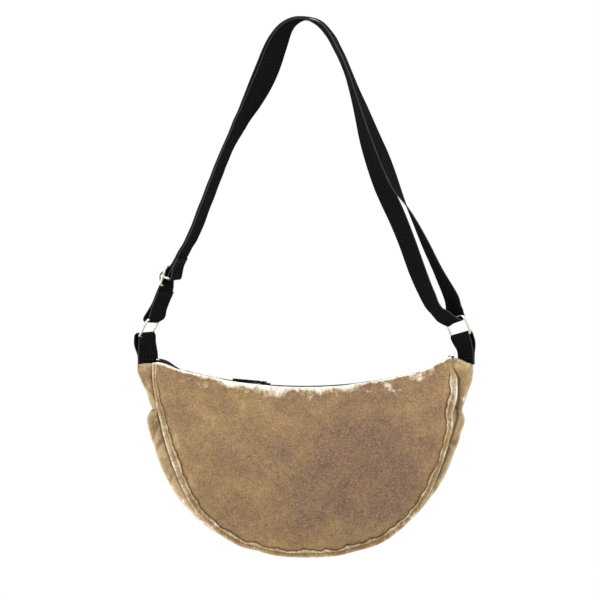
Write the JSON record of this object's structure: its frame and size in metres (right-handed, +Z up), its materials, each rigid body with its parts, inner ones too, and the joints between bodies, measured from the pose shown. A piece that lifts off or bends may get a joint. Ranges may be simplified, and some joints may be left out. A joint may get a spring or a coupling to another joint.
{
  "type": "half moon bag",
  "caption": "Half moon shoulder bag with velvet panels, a boxed gusset, a curved top zip and a doubled webbing strap on wire rings with a sliding adjuster.",
  "frame": {"origin": "underside of the strap at its highest point, where it hangs", "axes": "+Z up, +X to the right seen from the front, front panel towards -Y"},
  "size_m": [0.3546, 0.0802, 0.5642],
  "materials": {
    "velvet": "crushed velvet with a short pile",
    "lining": "plain woven lining",
    "webbing": "ribbed woven webbing",
    "thread": "sewing thread",
    "zip_tape": "woven tape",
    "zip_coil": "satin moulded coil",
    "zip_metal": "black lacquer",
    "ring_metal": "bright nickel plate"
  },
  "bodies": {
    "strap": {"strap_tail": "webbing", "strap_tail_stitching": "thread", "strap_running_layer": "webbing", "strap_ring_loop": "webbing", "strap_return_layer": "webbing", "strap_sewn_stretch": "webbing"},
    "bag": {"front_panel": "velvet", "back_panel": "velvet", "gusset_band": "velvet", "front_lining": "lining", "back_lining": "lining", "gusset_lining": "lining", "front_zip_tape": "zip_tape", "back_zip_tape": "zip_tape", "front_zip_coil": "zip_coil", "back_zip_coil": "zip_coil", "zip_top_stops": "zip_metal", "zip_bottom_stop": "zip_metal", "left_tab": "webbing", "right_tab": "webbing", "tab_bartacks": "thread", "left_corner_cover": "velvet", "right_corner_cover": "velvet"},
    "ring_left": {"left_ring": "ring_metal"},
    "ring_right": {"right_ring": "ring_metal"},
    "adjuster": {"adjuster_frame": "ring_metal", "adjuster_bar": "ring_metal", "strap_end_loop": "webbing", "strap_end_stitching": "thread"},
    "slider": {"zip_slider_body": "zip_metal"},
    "pull": {"zip_pull": "zip_metal"}
  },
  "joints": [
    {"name": "bag_swing", "type": "hinge", "parent": "strap", "child": "bag", "pos_m": [0, 0, -0.33085], "axis": [1, 0, 0], "range_deg": [-70, 70], "deforming": ["left_tab", "right_tab"]},
    {"name": "left_ring_rock", "type": "hinge", "parent": "strap", "child": "ring_left", "pos_m": [-0.16265, 0, -0.32153], "axis": [0.4412, 0.8746, -0.201], "range_deg": [-8, 8]},
    {"name": "right_ring_rock", "type": "hinge", "parent": "strap", "child": "ring_right", "pos_m": [0.16265, 0, -0.32153], "axis": [-0.4412, 0.8746, -0.201], "range_deg": [-8, 8]},
    {"name": "adjuster_slide", "type": "slide", "parent": "strap", "child": "adjuster", "axis": [0.4147, 0, 0.91], "range_m": [0, 0.09], "deforming": ["strap_sewn_stretch"]},
    {"name": "zip_travel", "type": "hinge", "parent": "bag", "child": "slider", "pos_m": [0, 0, 0.11956], "axis": [0, 1, 0], "range_deg": [-18.8, 8.6]},
    {"name": "zip_pull_flip", "type": "hinge", "parent": "slider", "child": "pull", "pos_m": [-0.0442, 0, -0.37649], "axis": [0, 1, 0], "range_deg": [0, 178]}
  ]
}
